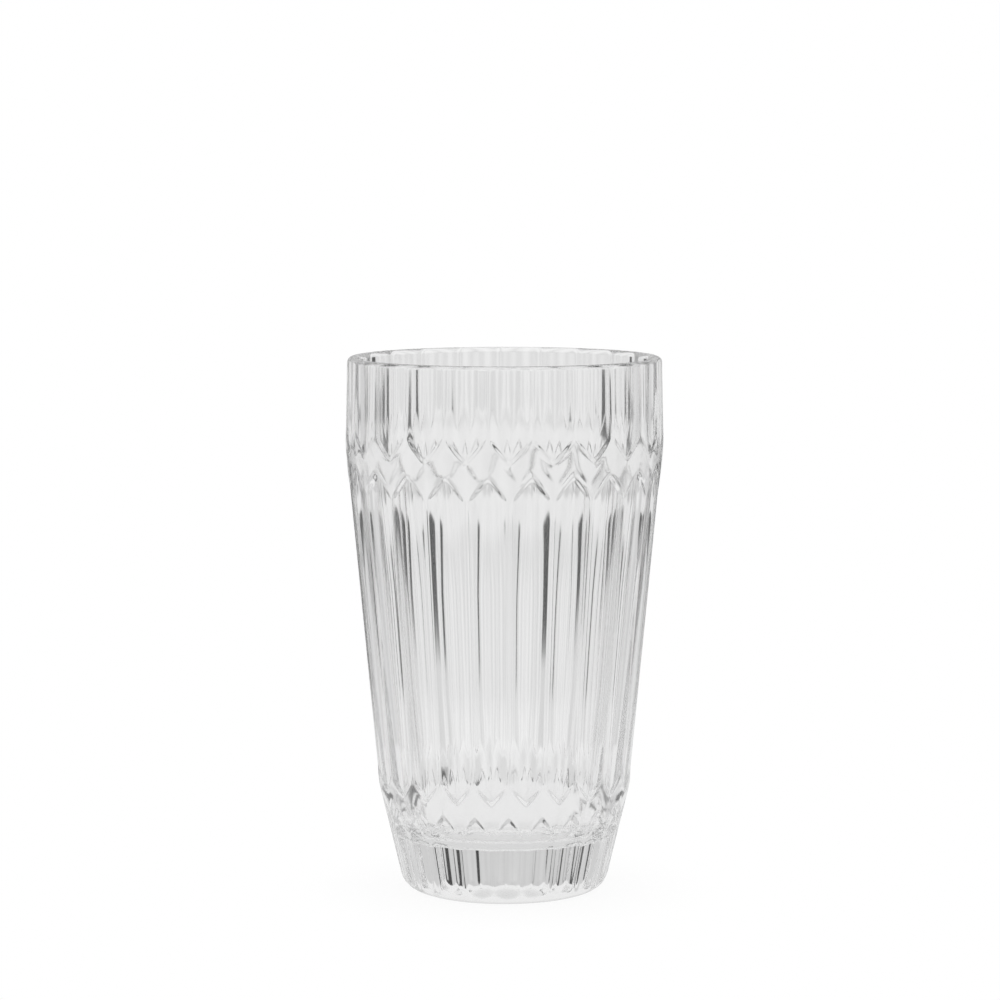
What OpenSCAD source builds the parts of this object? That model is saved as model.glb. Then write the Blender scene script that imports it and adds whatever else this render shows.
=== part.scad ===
// Tall chai glass of clear pressed glass, in one piece, with three tiers of upright hollow flutes.
// The origin is the middle of the base on the table, +Z runs up the axis, and lengths are in millimetres.
// Each tier's flutes stand half a pitch round from the next tier's, so their points lie between each other.

/* [Overall] */
// Height from the table to the top of the lip
height = 142; // [130:1:160]
// How far the glass is turned, from an upper flute that faces the front, in degrees
turn = 1.9; // [0:0.1:7]

/* [Outside] */
// Diameter over the ridges at the lip
rim_d = 83.2; // [81:0.1:84]
// Diameter over the ridges at the shoulder, where the straight band ends
shoulder_d = 84.1; // [83:0.1:86]
// Height of the shoulder above the table
shoulder_z = 118.5; // [116:0.5:121]
// Diameter over the ridges at the waist, where the middle tier meets the base tier
waist_d = 66.9; // [65:0.1:70]
// Height of the waist above the table
waist_z = 28.3; // [26:0.1:31]
// Diameter of the base tier's slope, carried on down to the table
foot_d = 53.4; // [50:0.1:56]
// Radius of the rounded edge of the foot
foot_edge = 5.5; // [3:0.1:7]

/* [Inside] */
// Thickness of the wall at the lip, which is rounded over it
lip_w = 2.8; // [2.4:0.1:3.6]
// Height above the table where the slope of the inner wall changes
bend_z = 104; // [94:1:111]
// Thickness of the wall at that change, up to the ridges
bend_w = 2.9; // [2.4:0.1:4]
// Thickness of the wall at the top of the rounding into the floor, up to the ridges
well_w = 3.6; // [2.5:0.1:6]
// Radius of the rounding into the floor
well_edge = 8; // [5:0.5:10]
// Thickness of the glass under the floor
floor_t = 15; // [12:0.5:17]

/* [Flutes] */
// Flutes round each tier
flutes = 23; // [17:1:29]
// Width of the plain land on each ridge between two flutes, at the waist
ridge_w = 0.8; // [0.4:0.1:1.6]
// Depth of an upper flute's hollow at the shoulder, under the line between its ridges
upper_hollow = 0.25; // [0.15:0.05:0.6]
// Depth of a middle flute's hollow at the shoulder, under the line between its ridges
middle_hollow = 0.5; // [0.3:0.05:0.9]
// Depth of a base flute's hollow at the waist, under the line between its ridges
base_hollow = 0.5; // [0.2:0.05:0.8]
// Lean of the walls that end a flute in its point, in degrees from square to the side of the glass
end_lean = 60; // [40:5:70]

/* [Joins of the tiers] */
// How far the points of the upper flutes reach below the shoulder
upper_drop = 2; // [1:0.5:3]
// How far the heads of the middle flutes stay below the shoulder
middle_gap = 4.5; // [4:0.5:7]
// How far the points of the middle flutes reach below the waist
middle_drop = 1; // [0.5:0.5:2]
// How far the heads of the base flutes stay below the waist
base_gap = 3.5; // [3:0.5:5]
// Height of the points where the upper band meets the middle tier
upper_point = 5.5; // [3:0.5:7]
// Height of the points where the middle tier meets the base tier
lower_point = 4.5; // [3:0.5:6]

/* [Underside] */
// Width of the ring that the glass stands on
ring_w = 2.9; // [1.5:0.1:5]
// Height of the hollow under the base
hollow_h = 4.5; // [1:0.1:6]

/* [Hidden] */
$fn = 96;
// Steps of a quarter turn in the rounded stretches of the outline
steps = 6;
pitch = 360 / flutes;
// Angle round the axis from a flute's middle to its edge, where the land of the ridge starts
half_flute = pitch / 2 - asin(ridge_w / waist_d);
// Angle to the sides of a flute's cutter, which stand on the lands, clear of the next cutters
cutter_half = (half_flute + pitch / 2) / 2;
rim_r = rim_d / 2;
shoulder_r = shoulder_d / 2;
waist_r = waist_d / 2;
foot_r = foot_d / 2;
lip_r = lip_w / 2;
lip_z = height - lip_r;
// Radius over the ridges at a height of the base tier or the middle tier
function side_r(z) = z < waist_z
    ? foot_r + (waist_r - foot_r) * z / waist_z
    : waist_r + (shoulder_r - waist_r) * (z - waist_z) / (shoulder_z - waist_z);
// The inner wall, from its bend down to the top of the rounding
bend_r = side_r(bend_z) - bend_w;
well_z = floor_t + well_edge;
well_r = side_r(well_z) - well_w;
// Leans from upright of the base tier's side and of the inner wall above the floor
foot_lean = atan((waist_r - foot_r) / waist_z);
well_lean = atan((bend_r - well_r) / (bend_z - well_z));
// Radius at which the rounded edge of the foot starts on the table
foot_flat = foot_r - foot_edge * tan((90 - foot_lean) / 2);
ring_r = foot_flat - ring_w;
// Radius of the middle of the rounding into the floor
well_mid = well_r - well_edge / cos(well_lean);
// How far a cutter runs on past the ends of its flute
clear = lip_w;

// Points of an arc round a middle, from one angle to another
function arc(middle, r, from, to, count) =
    [for (i = [0:count]) let (a = from + (to - from) * i / count) middle + r * [cos(a), sin(a)]];

// The hollow under the base, a shallow dome from the axis down to the ring
function dome(count) = [for (i = [0:count]) [ring_r * i / count, hollow_h * cos(90 * i / count)]];

// The glass before its flutes: hollow, foot, side, lip, inner wall and floor, in one turned outline
module blank() {
    rotate_extrude() polygon(concat(
        dome(steps),
        arc([foot_flat, foot_edge], foot_edge, -90, -foot_lean, steps),
        [[waist_r, waist_z], [shoulder_r, shoulder_z]],
        arc([rim_r - lip_r, lip_z], lip_r, 0, 180, 2 * steps),
        [[bend_r, bend_z]],
        arc([well_mid, well_z], well_edge, -well_lean, -90, steps),
        [[0, floor_t]]
    ));
}

// The round of one flute, a leaned cylinder that faces +X. The ridges beside it run through low and high,
// each a radius and a height, and hollow is the flute's depth at the wider end. It runs from one height
// to another and a little past both.
module scoop(low, high, hollow, from, to) {
    half_w = max(low[0], high[0]) * sin(half_flute);
    round_r = (half_w ^ 2 + hollow ^ 2) / (2 * hollow);
    chord_lean = atan(cos(half_flute) * (high[0] - low[0]) / (high[1] - low[1]));
    // How far the cylinder's middle lies out from the line between the ridges, where their radius is r
    function out(r) = sqrt(round_r ^ 2 - (r * sin(half_flute)) ^ 2);
    function middle(end) =
        [end[0] * cos(half_flute), end[1]] + out(end[0]) * [cos(chord_lean), -sin(chord_lean)];
    start = middle(low);
    run = middle(high) - start;
    lean = atan(run[0] / run[1]);
    past = round_r * abs(sin(lean));
    translate([start[0] + (from - past - start[1]) * tan(lean), 0, from - past])
        rotate([0, lean, 0])
            cylinder(h = (to - from + 2 * past) / cos(lean), r = round_r);
}

// The wedge that holds a cutter between the middles of the lands beside its flute
module wedge(r, from, to) {
    translate([0, 0, from])
        linear_extrude(to - from)
            polygon([[0, 0], [r, -r * tan(cutter_half)], [r, r * tan(cutter_half)]]);
}

// The block that ends a flute at its foot. Its notch is the flute's point, with the tip at the origin, and
// the walls of the notch slope, so that the flute runs out towards them.
module block(half_w, point) {
    side = 2 * half_w;
    rise = 2 * point * cos(end_lean);
    depth = 4 * (point + clear);
    rotate([0, end_lean, 0])
        rotate([90, 0, 90])
            linear_extrude(depth, center = true)
                polygon([[0, 0], [side, rise], [side, -depth], [-side, -depth], [-side, rise]]);
}

// The cutter of one flute, which faces +X. The ridges beside it run through low and high, each a radius and
// a height. foot and head are the heights of its ends, and foot_point and head_point the heights of their
// points, or 0 where the end is open and lies outside the glass.
module cutter(low, high, hollow, foot, head, foot_point, head_point) {
    gain = (high[0] - low[0]) / (high[1] - low[1]);
    function ridge_r(z) = low[0] + gain * (z - low[1]);
    difference() {
        intersection() {
            scoop(low, high, hollow, foot - clear, head + clear);
            wedge(2 * shoulder_r, foot - clear, head + clear);
        }
        if (foot_point > 0)
            translate([ridge_r(foot), 0, foot])
                rotate([0, atan(gain), 0])
                    block(ridge_r(foot) * sin(half_flute), foot_point);
        if (head_point > 0)
            translate([ridge_r(head), 0, head])
                rotate([0, atan(gain), 0])
                    mirror([0, 0, 1])
                        block(ridge_r(head) * sin(half_flute), head_point);
    }
}

// One tier of flutes, the first of them turned from the front by a share of the pitch
module tier(first_share, low, high, hollow, foot, head, foot_point, head_point) {
    for (i = [0:flutes - 1])
        rotate(turn - 90 + (i + first_share) * pitch)
            cutter(low, high, hollow, foot, head, foot_point, head_point);
}

// The glass: its blank with the flutes of the upper band, the middle tier and the base tier pressed in
module tumbler() {
    half_share = 0.5;
    color([0.86, 0.9, 0.9, 0.4]) difference() {
        blank();
        tier(0, [shoulder_r, shoulder_z], [rim_r, lip_z], upper_hollow,
            shoulder_z - upper_drop, height + clear, upper_point, 0);
        tier(half_share, [waist_r, waist_z], [shoulder_r, shoulder_z], middle_hollow,
            waist_z - middle_drop, shoulder_z - middle_gap, lower_point, upper_point);
        tier(0, [foot_r, 0], [waist_r, waist_z], base_hollow,
            -clear, waist_z - base_gap, 0, lower_point);
    }
}

tumbler();
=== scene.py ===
"""Dresses the chai glass: a tall tumbler of clear pressed glass with three tiers of hollow flutes.

The glass is one turned outline of many rows. The rows of its outer side follow the zigzag lines
where the tiers meet, and the flutes are then pressed into them, so that every edge of a flute lies
along the mesh. Sizes of the glass are in millimetres, as in the part's source, and MM turns them
into metres.
"""

import logging
import math
from collections.abc import Callable
from dataclasses import dataclass, field
from enum import Enum

import bmesh
import bpy
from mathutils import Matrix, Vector

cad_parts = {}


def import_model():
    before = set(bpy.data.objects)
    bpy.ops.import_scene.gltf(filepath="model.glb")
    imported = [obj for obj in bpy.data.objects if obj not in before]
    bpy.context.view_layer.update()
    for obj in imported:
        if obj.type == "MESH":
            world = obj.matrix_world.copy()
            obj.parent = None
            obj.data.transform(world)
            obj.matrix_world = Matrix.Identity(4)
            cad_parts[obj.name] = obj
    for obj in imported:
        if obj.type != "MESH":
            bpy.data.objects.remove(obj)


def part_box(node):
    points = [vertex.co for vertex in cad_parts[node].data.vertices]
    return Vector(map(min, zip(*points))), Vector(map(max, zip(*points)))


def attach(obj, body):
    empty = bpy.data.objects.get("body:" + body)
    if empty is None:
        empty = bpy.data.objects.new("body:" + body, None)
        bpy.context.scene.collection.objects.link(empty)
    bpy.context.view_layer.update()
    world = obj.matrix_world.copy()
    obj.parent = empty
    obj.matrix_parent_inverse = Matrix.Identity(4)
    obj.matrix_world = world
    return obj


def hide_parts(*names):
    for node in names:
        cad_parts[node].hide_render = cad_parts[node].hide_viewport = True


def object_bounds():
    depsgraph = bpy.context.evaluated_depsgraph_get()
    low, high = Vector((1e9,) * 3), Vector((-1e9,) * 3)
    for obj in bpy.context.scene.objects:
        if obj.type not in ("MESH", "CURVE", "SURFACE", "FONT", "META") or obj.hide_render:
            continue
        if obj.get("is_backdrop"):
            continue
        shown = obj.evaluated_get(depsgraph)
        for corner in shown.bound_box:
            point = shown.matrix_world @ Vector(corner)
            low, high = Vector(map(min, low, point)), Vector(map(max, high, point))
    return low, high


LOG = logging.getLogger("chai_glass")
MM = 0.001
WHITE = (1.0, 1.0, 1.0, 1.0)
# How often a ray may bounce in all and pass through glass, and how often off a glossy face
BOUNCES = 32
GLOSSY_BOUNCES = 16
# A number that depends on one other, such as a height on an angle
Curve = Callable[[float], float]
# A radius that depends on a height and an angle
Surface = Callable[[float, float], float]


def soft_least(a: float, b: float, width: float) -> float:
    """Gives the lesser of two numbers, rounded where they cross.

    Args:
        a: One number.
        b: The other number.
        width: The difference below which the rounding starts.

    Returns:
        The lesser number, less a little near the crossing.
    """
    share = min(1.0, max(0.0, 0.5 + 0.5 * (b - a) / width))
    return b + (a - b) * share - width * share * (1.0 - share)


def eased(share: float) -> float:
    """Runs from 0 to 1 as share does, slow at both ends."""
    return 0.5 - 0.5 * math.cos(math.pi * share)


def shares(count: int) -> list[float]:
    """Gives count equal steps over 0 to 1, without the 0."""
    return [(i + 1) / count for i in range(count)]


def between(a: float, b: float, share: float) -> float:
    """Gives the number that lies a share of the way from a to b."""
    return a + (b - a) * share


class Operation(Enum):
    """What a Math node does, by Blender's name for it."""

    ADD = "ADD"
    MULTIPLY = "MULTIPLY"
    ABSOLUTE = "ABSOLUTE"
    ARCSINE = "ARCSINE"
    ARCTAN2 = "ARCTAN2"
    DEGREES = "DEGREES"


class Blend(Enum):
    """How a Map Range node runs from end to end, by Blender's name for it."""

    EVEN = "LINEAR"
    SMOOTH = "SMOOTHSTEP"


def maths(
    tree: bpy.types.NodeTree,
    operation: Operation,
    first: bpy.types.NodeSocket,
    second: bpy.types.NodeSocket | float | None = None,
    clamp: bool = False,
) -> bpy.types.NodeSocket:
    """Adds a Math node.

    Args:
        tree: The nodes that it joins.
        operation: What the node does.
        first: Its first input.
        second: Its second input, as a socket or a number, where it has one.
        clamp: Whether the result is kept between 0 and 1.

    Returns:
        The output with the result.
    """
    node = tree.nodes.new("ShaderNodeMath")
    node.operation = operation.value
    node.use_clamp = clamp
    tree.links.new(first, node.inputs[0])
    if isinstance(second, float):
        node.inputs[1].default_value = second
    elif second is not None:
        tree.links.new(second, node.inputs[1])
    return node.outputs["Value"]


def ranged(
    tree: bpy.types.NodeTree,
    value: bpy.types.NodeSocket,
    span: tuple[float, float],
    ends: tuple[float, float],
    blend: Blend = Blend.SMOOTH,
) -> bpy.types.NodeSocket:
    """Adds a Map Range node.

    Args:
        tree: The nodes that it joins.
        value: What it reads.
        span: The two values between which the result changes.
        ends: The result at those two values.
        blend: How it runs between them.

    Returns:
        The output with the result.
    """
    node = tree.nodes.new("ShaderNodeMapRange")
    node.interpolation_type = blend.value
    names = ("From Min", "From Max", "To Min", "To Max")
    for name, number in zip(names, (*span, *ends)):
        node.inputs[name].default_value = number
    tree.links.new(value, node.inputs["Value"])
    return node.outputs["Result"]


def mixed(
    tree: bpy.types.NodeTree,
    factor: bpy.types.NodeSocket,
    first: bpy.types.NodeSocket,
    second: bpy.types.NodeSocket,
) -> bpy.types.NodeSocket:
    """Adds a Mix Shader node.

    Args:
        tree: The nodes that it joins.
        factor: How much of the second shader shows, from 0 to 1.
        first: The shader that shows at 0.
        second: The shader that shows at 1.

    Returns:
        The output with the mixed shader.
    """
    node = tree.nodes.new("ShaderNodeMixShader")
    for place, socket in enumerate((factor, first, second)):
        tree.links.new(socket, node.inputs[place])
    return node.outputs["Shader"]


@dataclass(frozen=True)
class Line:
    """A straight stretch of the outline, as a radius that changes evenly with the height.

    Attributes:
        low_r: Radius at the low end.
        low_z: Height of the low end.
        high_r: Radius at the high end.
        high_z: Height of the high end.
    """

    low_r: float
    low_z: float
    high_r: float
    high_z: float

    def radius(self, z: float) -> float:
        """Gives the radius at a height."""
        return between(self.low_r, self.high_r, (z - self.low_z) / (self.high_z - self.low_z))

    def lean(self) -> float:
        """Gives the angle of the line from upright."""
        return math.atan2(self.high_r - self.low_r, self.high_z - self.low_z)


class Stand(Enum):
    """Where the flutes of a tier stand round the glass."""

    WITH_UPPER = 0
    BETWEEN_UPPER = 1


@dataclass(frozen=True)
class Flutes:
    """One tier of flutes.

    Attributes:
        ridges: The line of the ridges between the flutes.
        hollow: Depth of a flute under the line between its ridges, at the wide end.
        stand: Where the flutes stand against the upper tier's.
        half: Angle from a flute's middle to its edge.
        half_pitch: Angle from a flute's middle to the middle of the ridge.
    """

    ridges: Line
    hollow: float
    stand: Stand
    half: float
    half_pitch: float

    def away(self, off: float) -> float:
        """Gives the angle from the nearest flute's middle.

        Args:
            off: Angle from the middle of the nearest upper flute.

        Returns:
            The same place as an angle from the middle of this tier's nearest flute.
        """
        return off if self.stand is Stand.WITH_UPPER else self.half_pitch - off

    def radius(self, z: float, off: float) -> float:
        """Gives the radius of the hollow flutes.

        Args:
            z: Height above the table.
            off: Angle from the middle of the nearest upper flute.

        Returns:
            The radius of the pressed side there, which on a ridge lies outside the ridge.
        """
        ridge = self.ridges.radius(z)
        away = self.away(off)
        across = min(1.0, math.tan(away) / math.tan(self.half))
        depth = self.hollow * (ridge / max(self.ridges.low_r, self.ridges.high_r)) ** 2
        return (ridge * math.cos(self.half) - depth * (1.0 - across * across)) / math.cos(away)


@dataclass(frozen=True)
class Zigzag:
    """A line of points round the glass, in which the flutes of a tier end.

    Attributes:
        tip: Height of the line at the middle of the flutes.
        rise: How far the line climbs from there to the ridges.
        flutes: The tier whose flutes end there.
        rounding: Share of a flute's half width over which the tip is rounded.
    """

    tip: float
    rise: float
    flutes: Flutes
    rounding: float

    def height(self, off: float) -> float:
        """Gives the height of the line.

        Args:
            off: Angle from the middle of the nearest upper flute.

        Returns:
            The height there.
        """
        across = self.flutes.away(off) / self.flutes.half
        climb = math.hypot(across, self.rounding) - self.rounding
        full = math.hypot(1.0, self.rounding) - self.rounding
        return self.tip + self.rise * min(1.0, climb / full)


@dataclass(frozen=True)
class Row:
    """A ring of vertices round the glass.

    Attributes:
        height: Gives the height at an angle from the nearest upper flute's middle.
        radius: Gives the radius from a height and that angle.
    """

    height: Curve
    radius: Surface

    def place(self, off: float) -> tuple[float, float]:
        """Gives the radius and the height at an angle from the nearest upper flute's middle."""
        z = self.height(off)
        return self.radius(z, off), z


def ring(r: float, z: float) -> Row:
    """Makes a plain round row.

    Args:
        r: Its radius.
        z: Its height.

    Returns:
        The row.
    """
    return Row(height=lambda off: z, radius=lambda height, off: r)


@dataclass(frozen=True)
class ClearGlass:
    """The finish of clear pressed glass.

    Attributes:
        name: Name of the material.
        tint: Colour of the light that passes.
        ior: Index of refraction.
        ripple_size: Width of the faint ripple that pressing leaves, in metres.
        ripple_stretch: How many times longer the ripple is upright than across.
        ripple_height: Height of the ripple, in metres.
        polish: Roughness of the glass, which softens what shows through it.
        haze: Roughness in its few duller patches.
        patch_size: Width of those patches, in metres.
        patch_span: Levels of the patches' noise between which polish turns into haze.
    """

    name: str = "clear_pressed_glass"
    tint: tuple[float, float, float] = (0.99, 0.99, 0.99)
    ior: float = 1.52
    ripple_size: float = 0.006
    ripple_stretch: float = 5.0
    ripple_height: float = 0.00002
    polish: float = 0.055
    haze: float = 0.09
    patch_size: float = 0.03
    patch_span: tuple[float, float] = (0.55, 0.8)

    def material(self) -> bpy.types.Material:
        """Builds the material.

        Returns:
            The glass, with its ripple as a bump and its haze as roughness, in object coordinates.
        """
        material = bpy.data.materials.new(self.name)
        material.use_nodes = True
        tree = material.node_tree
        shader = tree.nodes["Principled BSDF"]
        shader.inputs["Base Color"].default_value = (*self.tint, 1.0)
        shader.inputs["Transmission Weight"].default_value = 1.0
        shader.inputs["IOR"].default_value = self.ior
        place = tree.nodes.new("ShaderNodeTexCoord")
        stretch = tree.nodes.new("ShaderNodeMapping")
        stretch.inputs["Scale"].default_value = (1.0, 1.0, 1.0 / self.ripple_stretch)
        ripple = tree.nodes.new("ShaderNodeTexNoise")
        ripple.inputs["Scale"].default_value = 1.0 / self.ripple_size
        ripple.inputs["Detail"].default_value = 1.0
        bump = tree.nodes.new("ShaderNodeBump")
        bump.inputs["Strength"].default_value = 1.0
        bump.inputs["Distance"].default_value = self.ripple_height
        patches = tree.nodes.new("ShaderNodeTexNoise")
        patches.inputs["Scale"].default_value = 1.0 / self.patch_size
        levels = (self.polish, self.haze)
        rough = ranged(tree, patches.outputs["Fac"], self.patch_span, levels, Blend.EVEN)
        link = tree.links.new
        link(place.outputs["Object"], stretch.inputs["Vector"])
        link(stretch.outputs["Vector"], ripple.inputs["Vector"])
        link(ripple.outputs["Fac"], bump.inputs["Height"])
        link(bump.outputs["Normal"], shader.inputs["Normal"])
        link(place.outputs["Object"], patches.inputs["Vector"])
        link(rough, shader.inputs["Roughness"])
        return material


@dataclass(frozen=True)
class RowCounts:
    """How many rows each stretch of the outline gets.

    Attributes:
        hollow: The hollow under the base.
        foot: The rounding of the foot.
        flutes: A tier's flutes, where they have their full depth.
        run_out: Each end of a tier's flutes, where they run out.
        lower_join: The plain zigzag between the base tier and the middle tier.
        upper_join: The plain zigzag between the middle tier and the upper band.
        lip_outside: The outer half of the lip's rounding.
        lip_inside: The inner half of the lip's rounding.
        wall: The inner wall above its bend, and again below it.
        bend: The bend of the inner wall.
        well: The rounding into the floor.
    """

    hollow: int = 8
    foot: int = 6
    flutes: int = 3
    run_out: int = 6
    lower_join: int = 4
    upper_join: int = 5
    lip_outside: int = 8
    lip_inside: int = 7
    wall: int = 2
    bend: int = 6
    well: int = 10


@dataclass
class Tumbler:
    """The glass itself: outer side with its flutes, lip, inner wall, floor and hollow of the base.

    Attributes:
        height: Height to the top of the lip.
        shoulder_r: Radius over the ridges at the shoulder.
        finish: The finish of the glass.
        flutes: Flutes round each tier.
        turn: How far the first upper flute is turned from the front, in degrees.
        ridge_w: Width of the plain land on each ridge, at the waist.
        rim_r: Radius over the ridges at the lip.
        shoulder_z: Height of the shoulder.
        waist_r: Radius over the ridges at the waist.
        waist_z: Height of the waist.
        foot_r: Radius of the base tier's slope, carried on down to the table.
        foot_edge: Radius of the foot's rounded edge.
        lip_w: Thickness of the wall at the lip.
        bend_z: Height at which the slope of the inner wall changes.
        bend_w: Thickness of the wall there.
        well_w: Thickness of the wall at the top of the rounding into the floor.
        well_edge: Radius of that rounding.
        floor_t: Thickness of the glass under the floor.
        upper_hollow: Depth of an upper flute at its wide end.
        middle_hollow: Depth of a middle flute at its wide end.
        base_hollow: Depth of a base flute at its wide end.
        upper_drop: How far the points of the upper flutes reach below the shoulder.
        middle_gap: How far the heads of the middle flutes stay below the shoulder.
        middle_drop: How far the points of the middle flutes reach below the waist.
        base_gap: How far the heads of the base flutes stay below the waist.
        upper_point: Height of the points of the upper join.
        lower_point: Height of the points of the lower join.
        ring_w: Width of the ring that the glass stands on.
        hollow_h: Height of the hollow under the base.
        ramp: How far the flutes take to run out.
        edge_soft: Rounding of the flutes' edges.
        bend_soft: Rounding of the shoulder, the waist and the bend of the inner wall.
        tip_rounding: Share of a flute's half width over which its point is rounded.
        bend_reach: How far from the bend of the inner wall its closer rows reach.
        floor_shares: Radii of the floor's rows, as shares of the flat floor's radius.
        half_columns: Columns of the mesh from a flute's middle to the next ridge.
        column_pull: How strongly they crowd towards the middles and the edges of the flutes.
        weld: Distance within which vertices that meet on a seam or on the axis are joined.
        counts: How many rows each stretch gets.
        rows: The rows, from the middle of the base's hollow to the middle of the floor.
    """

    height: float
    shoulder_r: float
    finish: ClearGlass
    flutes: int = 23
    turn: float = 1.9
    ridge_w: float = 0.8
    rim_r: float = 41.6
    shoulder_z: float = 118.5
    waist_r: float = 33.45
    waist_z: float = 28.3
    foot_r: float = 26.7
    foot_edge: float = 5.5
    lip_w: float = 2.8
    bend_z: float = 104.0
    bend_w: float = 2.9
    well_w: float = 3.6
    well_edge: float = 8.0
    floor_t: float = 15.0
    upper_hollow: float = 0.25
    middle_hollow: float = 0.5
    base_hollow: float = 0.5
    upper_drop: float = 2.0
    middle_gap: float = 4.5
    middle_drop: float = 1.0
    base_gap: float = 3.5
    upper_point: float = 5.5
    lower_point: float = 4.5
    ring_w: float = 2.9
    hollow_h: float = 4.5
    ramp: float = 2.0
    edge_soft: float = 0.2
    bend_soft: float = 0.3
    tip_rounding: float = 0.1
    bend_reach: float = 8.0
    floor_shares: tuple[float, ...] = (0.7, 0.35, 0.0)
    half_columns: int = 20
    column_pull: float = 0.55
    weld: float = 0.001
    counts: RowCounts = RowCounts()
    rows: list[Row] = field(default_factory=list)

    def __post_init__(self) -> None:
        """Works out the lines and the flutes from the sizes."""
        self.half_pitch = math.pi / self.flutes
        half = self.half_pitch - math.asin(0.5 * self.ridge_w / self.waist_r)
        self.lip_r = 0.5 * self.lip_w
        self.lip_z = self.height - self.lip_r
        self.base_side = Line(self.foot_r, 0.0, self.waist_r, self.waist_z)
        self.middle_side = Line(self.waist_r, self.waist_z, self.shoulder_r, self.shoulder_z)
        self.upper_side = Line(self.shoulder_r, self.shoulder_z, self.rim_r, self.lip_z)

        def tier(side: Line, hollow: float, stand: Stand) -> Flutes:
            """Makes a tier of flutes on a side."""
            return Flutes(side, hollow, stand, half, self.half_pitch)

        self.upper = tier(self.upper_side, self.upper_hollow, Stand.WITH_UPPER)
        self.middle = tier(self.middle_side, self.middle_hollow, Stand.BETWEEN_UPPER)
        self.base = tier(self.base_side, self.base_hollow, Stand.WITH_UPPER)

        def points(tip: float, rise: float, flutes: Flutes) -> Zigzag:
            """Makes the line of points that ends a tier."""
            return Zigzag(tip, rise, flutes, self.tip_rounding)

        self.upper_foot = points(self.shoulder_z - self.upper_drop, self.upper_point, self.upper)
        self.middle_head = points(self.shoulder_z - self.middle_gap, -self.upper_point, self.middle)
        self.middle_foot = points(self.waist_z - self.middle_drop, self.lower_point, self.middle)
        self.base_head = points(self.waist_z - self.base_gap, -self.lower_point, self.base)

    def side(self, z: float) -> float:
        """Gives the radius over the ridges, rounded a little at the shoulder and the waist.

        Args:
            z: Height above the table.

        Returns:
            The radius there.
        """
        lines = (self.upper_side, self.middle_side, self.base_side)
        upper, middle, base = (line.radius(z) for line in lines)
        return soft_least(soft_least(upper, middle, self.bend_soft), base, self.bend_soft)

    def pressed(self, flutes: Flutes, press: float, outer: Curve) -> Surface:
        """Makes the radius of a row on which a tier is pressed into the side.

        Args:
            flutes: The tier.
            press: How much of its depth is pressed there, from 0 to 1.
            outer: Gives the radius of the unpressed side at a height.

        Returns:
            A function that gives the radius from a height and an angle.
        """

        def radius(z: float, off: float) -> float:
            """Gives the radius of the pressed side."""
            plain = outer(z)
            return between(plain, soft_least(plain, flutes.radius(z, off), self.edge_soft), press)

        return radius

    def add_ring(self, r: float, z: float) -> None:
        """Adds a plain round row."""
        self.rows.append(ring(r, z))

    def add_pressed_ring(self, r: float, z: float, flutes: Flutes) -> None:
        """Adds a level row of a rounding, with the whole depth of a tier pressed into it."""
        radius = self.pressed(flutes, 1.0, lambda height: r)
        self.rows.append(Row(height=lambda off: z, radius=radius))

    def stretch(self, low: Curve, high: Curve, count: int, flutes: Flutes, presses: Curve) -> None:
        """Adds the rows of a stretch of the outer side, upwards, without its lowest row.

        Args:
            low: Height of the low end at an angle.
            high: Height of the high end at an angle.
            count: Rows that it gets.
            flutes: The tier that is pressed there.
            presses: Gives how much of the tier's depth is pressed at a share of the way up.
        """
        for share in shares(count):
            self.rows.append(
                Row(
                    height=lambda off, share=share: between(low(off), high(off), share),
                    radius=self.pressed(flutes, presses(share), self.side),
                )
            )

    def lay_underside(self) -> None:
        """Adds the rows of the base's hollow, from the axis out, of its ring and of the foot."""
        lean = self.base_side.lean()
        flat = self.foot_r - self.foot_edge * math.tan(0.5 * (0.5 * math.pi - lean))
        inner = flat - self.ring_w
        self.add_ring(0.0, self.hollow_h)
        for share in shares(self.counts.hollow):
            self.add_ring(inner * share, self.hollow_h * math.cos(0.5 * math.pi * share))
        self.add_ring(flat, 0.0)
        for share in shares(self.counts.foot):
            turned = share * (0.5 * math.pi - lean)
            z = self.foot_edge * (1.0 - math.cos(turned))
            self.add_pressed_ring(flat + self.foot_edge * math.sin(turned), z, self.base)

    def lay_side(self) -> None:
        """Adds the rows of the outer side, from the foot's rounding up to the lip."""

        def moved(line: Curve, by: float) -> Curve:
            """Moves a line of heights up by some millimetres."""
            return lambda off: line(off) + by

        def full(share: float) -> float:
            """Presses the whole depth."""
            return 1.0

        def none(share: float) -> float:
            """Presses nothing."""
            return 0.0

        def fading(share: float) -> float:
            """Presses less and less, up to the head of the flutes."""
            return eased(1.0 - share)

        counts = self.counts
        start = self.foot_edge * (1.0 - math.sin(self.base_side.lean()))
        base_head, middle_foot = self.base_head.height, self.middle_foot.height
        middle_head, upper_foot = self.middle_head.height, self.upper_foot.height
        base_fades = moved(base_head, -self.ramp)
        middle_deep = moved(middle_foot, self.ramp)
        middle_fades = moved(middle_head, -self.ramp)
        upper_deep = moved(upper_foot, self.ramp)
        self.stretch(lambda off: start, base_fades, counts.flutes, self.base, full)
        self.stretch(base_fades, base_head, counts.run_out, self.base, fading)
        self.stretch(base_head, middle_foot, counts.lower_join, self.base, none)
        self.stretch(middle_foot, middle_deep, counts.run_out, self.middle, eased)
        self.stretch(middle_deep, middle_fades, counts.flutes, self.middle, full)
        self.stretch(middle_fades, middle_head, counts.run_out, self.middle, fading)
        self.stretch(middle_head, upper_foot, counts.upper_join, self.middle, none)
        self.stretch(upper_foot, upper_deep, counts.run_out, self.upper, eased)
        self.stretch(upper_deep, lambda off: self.lip_z, counts.flutes, self.upper, full)

    def lay_lip(self) -> None:
        """Adds the rows of the rounded lip, in whose outer half the upper flutes run out."""

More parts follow.
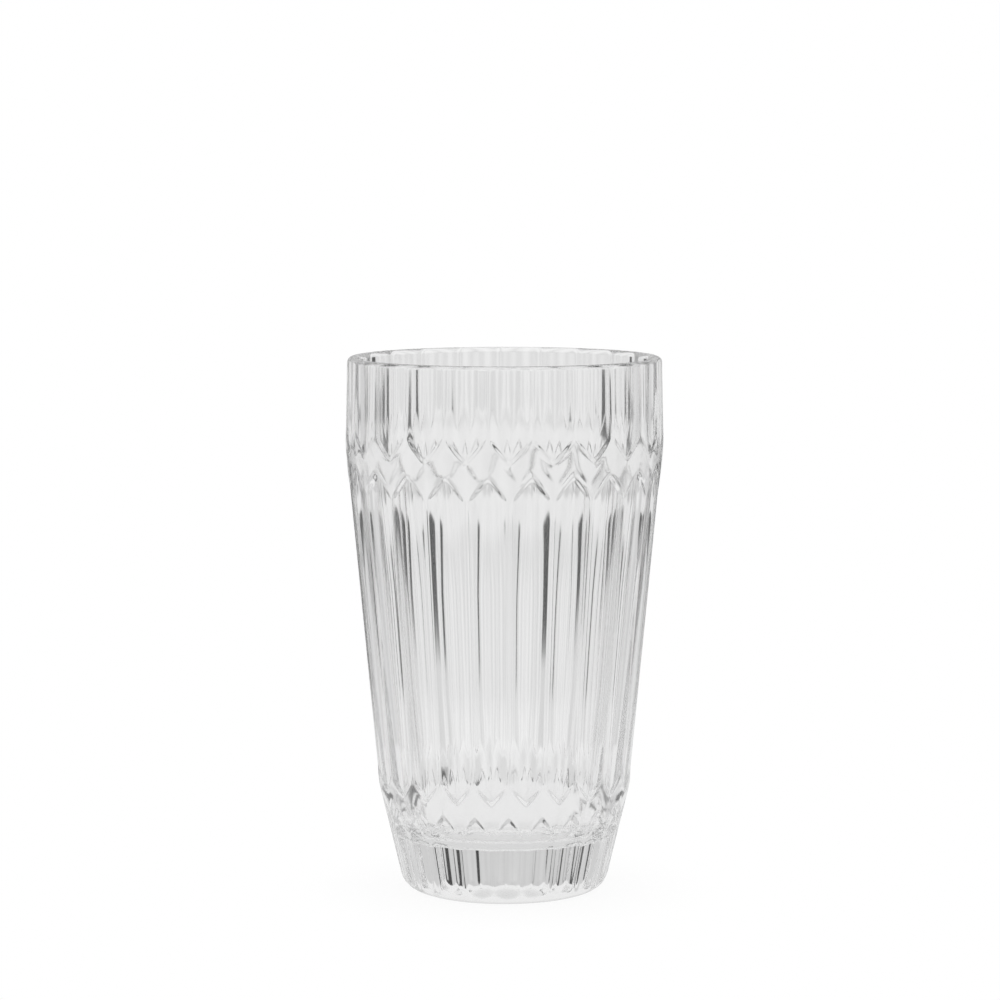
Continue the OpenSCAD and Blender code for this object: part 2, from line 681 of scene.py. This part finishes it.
        def place(turned: float) -> tuple[float, float]:
            """Gives the radius and the height at an angle, from outwards over the top inwards."""
            out, up = self.lip_r * math.cos(turned), self.lip_r * math.sin(turned)
            return self.rim_r - self.lip_r + out, self.lip_z + up

        for share in shares(self.counts.lip_outside):
            self.add_pressed_ring(*place(0.5 * math.pi * share), self.upper)
        for share in shares(self.counts.lip_inside):
            self.add_ring(*place(0.5 * math.pi * (1.0 + share)))

    def lay_inside(self) -> None:
        """Adds the rows of the inner wall, the rounding into the floor and the floor."""
        well_z = self.floor_t + self.well_edge
        bend_r = self.side(self.bend_z) - self.bend_w
        well_r = self.side(well_z) - self.well_w
        above = Line(bend_r, self.bend_z, self.rim_r - self.lip_w, self.lip_z)
        below = Line(well_r, well_z, bend_r, self.bend_z)
        start, end = self.bend_z + self.bend_reach, self.bend_z - self.bend_reach
        heights = [between(self.lip_z, start, share) for share in shares(self.counts.wall)]
        heights += [between(start, end, share) for share in shares(self.counts.bend)]
        heights += [between(end, well_z, share) for share in shares(self.counts.wall)][:-1]
        for z in heights:
            self.add_ring(soft_least(above.radius(z), below.radius(z), self.bend_soft), z)
        lean = below.lean()
        middle = well_r - self.well_edge / math.cos(lean)
        for share in [0.0, *shares(self.counts.well)]:
            turned = -lean - share * (0.5 * math.pi - lean)
            out, up = self.well_edge * math.cos(turned), self.well_edge * math.sin(turned)
            self.add_ring(middle + out, well_z + up)
        for share in self.floor_shares:
            self.add_ring(middle * share, self.floor_t)

    def column(self, angle: float) -> tuple[float, float]:
        """Moves an even column towards the middles and the edges of the flutes.

        Args:
            angle: Angle of the column from the first upper flute's middle, evenly spaced.

        Returns:
            The new angle, and the angle that it then makes with the nearest upper flute's middle.
        """
        pitch = 2.0 * self.half_pitch
        nearest = round(angle / pitch) * pitch
        share = abs(angle - nearest) / self.half_pitch
        share -= self.column_pull / (2.0 * math.pi) * math.sin(2.0 * math.pi * share)
        off = share * self.half_pitch
        return nearest + math.copysign(off, angle - nearest), off

    def turned_shape(self) -> bmesh.types.BMesh:
        """Turns the rows by one pitch, presses the flutes into them and repeats that all round.

        Returns:
            The shape of the glass, in metres.
        """
        front = math.radians(self.turn) - 0.5 * math.pi
        shape = bmesh.new()
        layer = shape.verts.layers.int.new("row")
        outline = []
        for number, row in enumerate(self.rows):
            r, z = row.place(0.0)
            point = shape.verts.new((r * math.cos(front), r * math.sin(front), z))
            point[layer] = number
            outline.append(point)
        edges = [shape.edges.new(pair) for pair in zip(outline, outline[1:])]
        pitch = 2.0 * self.half_pitch
        about = {"cent": (0.0, 0.0, 0.0), "axis": (0.0, 0.0, 1.0)}
        columns = 2 * self.half_columns
        bmesh.ops.spin(shape, geom=outline + edges, angle=pitch, steps=columns, **about)
        last = len(self.rows) - 1
        for point in shape.verts:
            if point[layer] in (0, last):
                continue
            angle, off = self.column(math.atan2(point.co.y, point.co.x) - front)
            r, z = self.rows[point[layer]].place(off)
            point.co = Vector((r * math.cos(front + angle), r * math.sin(front + angle), z))
        sector = shape.verts[:] + shape.edges[:] + shape.faces[:]
        turns = self.flutes - 1
        bmesh.ops.spin(
            shape, geom=sector, angle=turns * pitch, steps=turns, use_duplicate=True, **about
        )
        bmesh.ops.remove_doubles(shape, verts=shape.verts, dist=self.weld)
        bmesh.ops.recalc_face_normals(shape, faces=shape.faces)
        bmesh.ops.scale(shape, vec=(MM, MM, MM), verts=shape.verts)
        for face in shape.faces:
            face.smooth = True
        return shape

    def build(self) -> bpy.types.Object:
        """Lays the rows, turns them into the glass and dresses it.

        Returns:
            The finished piece.
        """
        self.lay_underside()
        self.lay_side()
        self.lay_lip()
        self.lay_inside()
        shape = self.turned_shape()
        mesh = bpy.data.meshes.new("glass")
        shape.to_mesh(mesh)
        shape.free()
        mesh.materials.append(self.finish.material())
        piece = bpy.data.objects.new("glass", mesh)
        bpy.context.scene.collection.objects.link(piece)
        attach(piece, "root")
        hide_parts("tumbler")
        return piece


@dataclass(frozen=True)
class PaleTable:
    """The finish of the table top.

    Attributes:
        name: Name of the material.
        colour: Its grey, from 0 to 1.
        through_glass: How bright it looks through the glass, away from the foot.
        painted_shadow_under_foot: How bright it looks through the glass right round the foot,
            darker there as a painted shadow of the glass.
        shadow_share: How much of the glass's shadow shows beside the foot.
        shadow_from: Radius at which the shadow and the painted shadow seen through the glass start
            to fade, in metres.
        shadow_to: Radius at which they have faded, in metres.
    """

    name: str = "pale_table"
    colour: float = 0.86
    through_glass: float = 0.83
    # Painted shadow: the top's brightness through the glass right round the foot
    painted_shadow_under_foot: float = 0.7
    shadow_share: float = 0.06
    shadow_from: float = 0.02
    shadow_to: float = 0.06

    def material(self) -> bpy.types.Material:
        """Builds the material.

        Returns:
            A matt pale top, which the camera sees as white away from the foot, and which the glass
            shows darker right round the foot as a painted shadow.
        """
        material = bpy.data.materials.new(self.name)
        material.use_nodes = True
        tree = material.node_tree
        tree.nodes.clear()
        place = tree.nodes.new("ShaderNodeTexCoord")
        length = tree.nodes.new("ShaderNodeVectorMath")
        length.operation = "LENGTH"
        tree.links.new(place.outputs["Object"], length.inputs[0])
        away = length.outputs["Value"]
        span = (self.shadow_from, self.shadow_to)
        shade = ranged(tree, away, span, (1.0 - self.shadow_share, 1.0))
        # Painted shadow: what the glass shows of the top gets darker towards the foot
        tone_and_painted_shadow = ranged(tree, away, span, (self.painted_shadow_under_foot, self.through_glass))
        path = tree.nodes.new("ShaderNodeLightPath")
        camera = path.outputs["Is Camera Ray"]
        seen = maths(tree, Operation.ADD, camera, path.outputs["Is Glossy Ray"], clamp=True)
        seen = maths(tree, Operation.ADD, seen, path.outputs["Is Transmission Ray"], clamp=True)
        matt = tree.nodes.new("ShaderNodeBsdfDiffuse")
        matt.inputs["Color"].default_value = (self.colour, self.colour, self.colour, 1.0)
        # Emission that the glass sees, with the painted shadow round the foot in its strength
        grey = tree.nodes.new("ShaderNodeEmission")
        tree.links.new(tone_and_painted_shadow, grey.inputs["Strength"])
        white = tree.nodes.new("ShaderNodeEmission")
        shown = mixed(tree, camera, grey.outputs["Emission"], white.outputs["Emission"])
        share = maths(tree, Operation.MULTIPLY, seen, shade)
        top = mixed(tree, share, matt.outputs["BSDF"], shown)
        out = tree.nodes.new("ShaderNodeOutputMaterial")
        tree.links.new(top, out.inputs["Surface"])
        return material


@dataclass
class Table:
    """The round pale table that the glass stands on.

    Attributes:
        finish: Its finish.
        radius: Its radius, in metres.
        gap: How far the top lies under the foot, in metres, so that the two faces don't touch.
        corners: How many corners its round edge has.
    """

    finish: PaleTable
    radius: float = 0.12
    gap: float = 0.00005
    corners: int = 128

    def build(self) -> bpy.types.Object:
        """Makes the table top.

        Returns:
            The table, which is stage and not part of the glass.
        """
        shape = bmesh.new()
        bmesh.ops.create_circle(shape, cap_ends=True, segments=self.corners, radius=self.radius)
        bmesh.ops.translate(shape, verts=shape.verts, vec=(0.0, 0.0, -self.gap))
        mesh = bpy.data.meshes.new("table")
        shape.to_mesh(mesh)
        shape.free()
        mesh.materials.append(self.finish.material())
        table = bpy.data.objects.new("table", mesh)
        bpy.context.scene.collection.objects.link(table)
        table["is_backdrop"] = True
        return table


class Sides(Enum):
    """On which side of the backdrop's middle a card of the studio stands."""

    BOTH = "both"
    LEFT = "left"
    RIGHT = "right"


@dataclass(frozen=True)
class Card:
    """A lit or dark card in the studio round the glass, seen as an area of sky.

    Attributes:
        level: Its brightness.
        across: Where it starts and ends, in degrees round from the middle of the backdrop.
        up: Where it starts and ends above the table's level, in degrees.
        soft: Width of its soft edges, in degrees.
        sides: On which side it stands.
    """

    level: float
    across: tuple[float, float]
    up: tuple[float, float]
    soft: float = 4.0
    sides: Sides = Sides.BOTH


@dataclass
class Studio:
    """The soft light round the glass, with its cards.

    Attributes:
        level: Brightness where no card stands.
        cards: The cards, of which a later one hides an earlier one.
    """

    level: float
    cards: list[Card]

    def window(
        self,
        tree: bpy.types.NodeTree,
        value: bpy.types.NodeSocket,
        span: tuple[float, float],
        soft: float,
    ) -> bpy.types.NodeSocket:
        """Adds nodes that give 1 where a value lies in a span, with soft edges.

        Args:
            tree: The world's nodes.
            value: The value, in degrees.
            span: Start and end of the span.
            soft: Width of the edges.

        Returns:
            The output with the result.
        """
        start, end = ((edge - 0.5 * soft, edge + 0.5 * soft) for edge in span)
        rises = ranged(tree, value, start, (0.0, 1.0))
        falls = ranged(tree, value, end, (1.0, 0.0))
        return maths(tree, Operation.MULTIPLY, rises, falls)

    def brightness(self, tree: bpy.types.NodeTree) -> bpy.types.NodeSocket:
        """Adds the nodes that give the studio's brightness in each direction.

        Args:
            tree: The world's nodes.

        Returns:
            The output with the brightness.
        """
        direction = tree.nodes.new("ShaderNodeTexCoord")
        parts = tree.nodes.new("ShaderNodeSeparateXYZ")
        tree.links.new(direction.outputs["Generated"], parts.inputs["Vector"])
        turned = maths(tree, Operation.ARCTAN2, parts.outputs["X"], parts.outputs["Y"])
        across = maths(tree, Operation.DEGREES, turned)
        up = maths(tree, Operation.DEGREES, maths(tree, Operation.ARCSINE, parts.outputs["Z"]))
        by_side = {
            Sides.BOTH: maths(tree, Operation.ABSOLUTE, across),
            Sides.RIGHT: across,
            Sides.LEFT: maths(tree, Operation.MULTIPLY, across, -1.0),
        }
        start = tree.nodes.new("ShaderNodeValue")
        start.outputs[0].default_value = self.level
        level = start.outputs[0]
        for card in self.cards:
            width = self.window(tree, by_side[card.sides], card.across, card.soft)
            height = self.window(tree, up, card.up, card.soft)
            shown = tree.nodes.new("ShaderNodeMix")
            shown.inputs["B"].default_value = card.level
            tree.links.new(maths(tree, Operation.MULTIPLY, width, height), shown.inputs["Factor"])
            tree.links.new(level, shown.inputs["A"])
            level = shown.outputs["Result"]
        return level

    def build(self) -> None:
        """Makes the world: plain white for the camera, and the studio for the light and the glass.

        The white is for camera rays alone, because the glass has to show the studio's cards.
        """
        world = bpy.data.worlds.new("studio")
        bpy.context.scene.world = world
        world.use_nodes = True
        tree = world.node_tree
        tree.nodes.clear()
        studio = tree.nodes.new("ShaderNodeBackground")
        studio.inputs["Color"].default_value = WHITE
        tree.links.new(self.brightness(tree), studio.inputs["Strength"])
        white = tree.nodes.new("ShaderNodeBackground")
        white.inputs["Color"].default_value = WHITE
        camera = tree.nodes.new("ShaderNodeLightPath").outputs["Is Camera Ray"]
        shown = mixed(tree, camera, studio.outputs["Background"], white.outputs["Background"])
        out = tree.nodes.new("ShaderNodeOutputWorld")
        tree.links.new(shown, out.inputs["Surface"])


@dataclass(frozen=True)
class PhotoCamera:
    """The camera at the photograph's viewing angle.

    Attributes:
        distance: How far it stands from the axis of the glass, in metres.
        height: Its height above the table, in metres.
        pitch: How far it looks down, in degrees.
        lens: Focal length, in millimetres.
        sensor: Width of the sensor, in millimetres.
        shift: Sideways shift of the picture, as a share of its width.
    """

    distance: float = 0.95
    height: float = 0.2034
    pitch: float = 5.98
    lens: float = 129.78
    sensor: float = 36.0
    shift: float = -0.0045

    def build(self) -> bpy.types.Object:
        """Makes the camera and gives it to the scene.

        Returns:
            The camera.
        """
        data = bpy.data.cameras.new("camera")
        data.sensor_width = self.sensor
        data.lens = self.lens
        data.shift_x = self.shift
        camera = bpy.data.objects.new("camera", data)
        camera.location = (0.0, -self.distance, self.height)
        camera.rotation_euler = (0.5 * math.pi - math.radians(self.pitch), 0.0, 0.0)
        bpy.context.scene.collection.objects.link(camera)
        bpy.context.scene.camera = camera
        return camera


# Each streak's share of the swing, where it starts and ends in degrees, and its side
STREAK_PATTERN = (
    (1.0, (1.5, 4.0), Sides.RIGHT),
    (-1.0, (6.0, 9.5), Sides.RIGHT),
    (1.1, (11.0, 13.0), Sides.RIGHT),
    (-0.8, (1.0, 3.0), Sides.LEFT),
    (1.0, (5.0, 7.5), Sides.LEFT),
    (-1.1, (9.0, 12.0), Sides.LEFT),
)


@dataclass(frozen=True)
class Streaks:
    """Faint upright streaks in the middle of the backdrop, which the flutes show again and again.

    Attributes:
        level: Their mean brightness.
        swing: How much lighter or darker than that they are.
        up: Where they start and end above the table's level, in degrees.
        soft: Width of their soft edges, in degrees.
    """

    level: float
    swing: float
    up: tuple[float, float]
    soft: float = 2.0

    def cards(self) -> list[Card]:
        """Gives the streaks as cards, each with its share of the swing."""
        return [
            Card(self.level + self.swing * share, across, self.up, self.soft, side)
            for share, across, side in STREAK_PATTERN
        ]


# Brightness of a card that shows as black
BLACK = 0.01
# Where the ground straight behind the glass starts and ends. A card that runs through the middle of
# the backdrop starts below 0, so that its soft edge doesn't show there.
AHEAD = (-10.0, 13.0)
# Where the grey cards beside the glass and behind the camera start, and their width, in degrees
REAR_STARTS = (80.0, 108.0, 136.0, 164.0)
REAR_WIDTH = 11.0
STUDIO_CARDS = [
    # The ground behind the glass, which changes with the height
    Card(level=0.70, across=(-10.0, 70.0), up=(-90.0, 0.0), soft=10.0),
    Card(level=0.86, across=AHEAD, up=(-90.0, -11.0), soft=4.0),
    Card(level=0.79, across=AHEAD, up=(-11.0, -8.0), soft=3.0),
    Card(level=0.83, across=(-10.0, 60.0), up=(-6.0, 1.5), soft=2.0),
    Card(level=0.60, across=(-10.0, 100.0), up=(1.8, 8.0), soft=2.0),
    # The faint streaks on it
    *Streaks(level=0.83, swing=0.08, up=(-90.0, -12.0)).cards(),
    *Streaks(level=0.78, swing=0.08, up=(-12.0, -7.5)).cards(),
    *Streaks(level=0.83, swing=0.02, up=(-7.0, 1.0)).cards(),
    *Streaks(level=0.60, swing=0.03, up=(2.2, 8.0)).cards(),
    # A pale and a grey upright on each side of it
    Card(level=0.84, across=(27.0, 33.0), up=(-90.0, -5.0)),
    Card(level=0.62, across=(42.0, 54.0), up=(-90.0, 20.0), soft=6.0),
    # The dark cards below the horizon, which the glass shows as black lines
    Card(level=BLACK, across=(12.8, 42.0), up=(-10.6, -5.6), soft=1.0, sides=Sides.LEFT),
    Card(level=BLACK, across=(12.8, 42.0), up=(-10.2, -5.6), soft=1.0, sides=Sides.RIGHT),
    # The dark cards above the horizon, which it shows as black and grey lines
    Card(level=BLACK, across=(15.0, 22.0), up=(1.8, 9.0), soft=1.0, sides=Sides.RIGHT),
    Card(level=BLACK, across=(26.0, 30.0), up=(1.8, 9.0), soft=1.0, sides=Sides.LEFT),
    Card(level=0.35, across=(17.5, 19.0), up=(1.8, 9.0), soft=1.0, sides=Sides.LEFT),
    # The grey cards that give the glass its lines when it is seen from another side
    *(
        Card(level=0.42, across=(start, start + REAR_WIDTH), up=(-28.0, -5.0))
        for start in REAR_STARTS
    ),
]


def corners() -> list[list[float]]:
    """Gives the lowest and the highest corner of what is shown, as plain numbers."""
    return [[float(number) for number in corner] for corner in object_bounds()]


def main() -> None:
    """Builds the camera, the glass, its table and the studio, in that order."""
    logging.basicConfig(level=logging.INFO, format="%(message)s")
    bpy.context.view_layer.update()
    PhotoCamera().build()
    LOG.info("camera at the photograph's angle")
    _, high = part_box("tumbler")
    glass = Tumbler(height=high.z / MM, shoulder_r=round(high.x / MM, 2), finish=ClearGlass())
    piece = glass.build()
    LOG.info("%s: %d rows, %d faces", piece.name, len(glass.rows), len(piece.data.polygons))
    table = Table(PaleTable())
    LOG.info("%s: %.2f m across", table.build().name, 2.0 * table.radius)
    Studio(level=0.85, cards=STUDIO_CARDS).build()
    LOG.info("studio: %d cards", len(STUDIO_CARDS))
    scene = bpy.context.scene
    scene.view_settings.view_transform = "Standard"
    scene.cycles.max_bounces = BOUNCES
    scene.cycles.transmission_bounces = BOUNCES
    scene.cycles.glossy_bounces = GLOSSY_BOUNCES


if __name__ == "__main__":
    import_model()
    main()
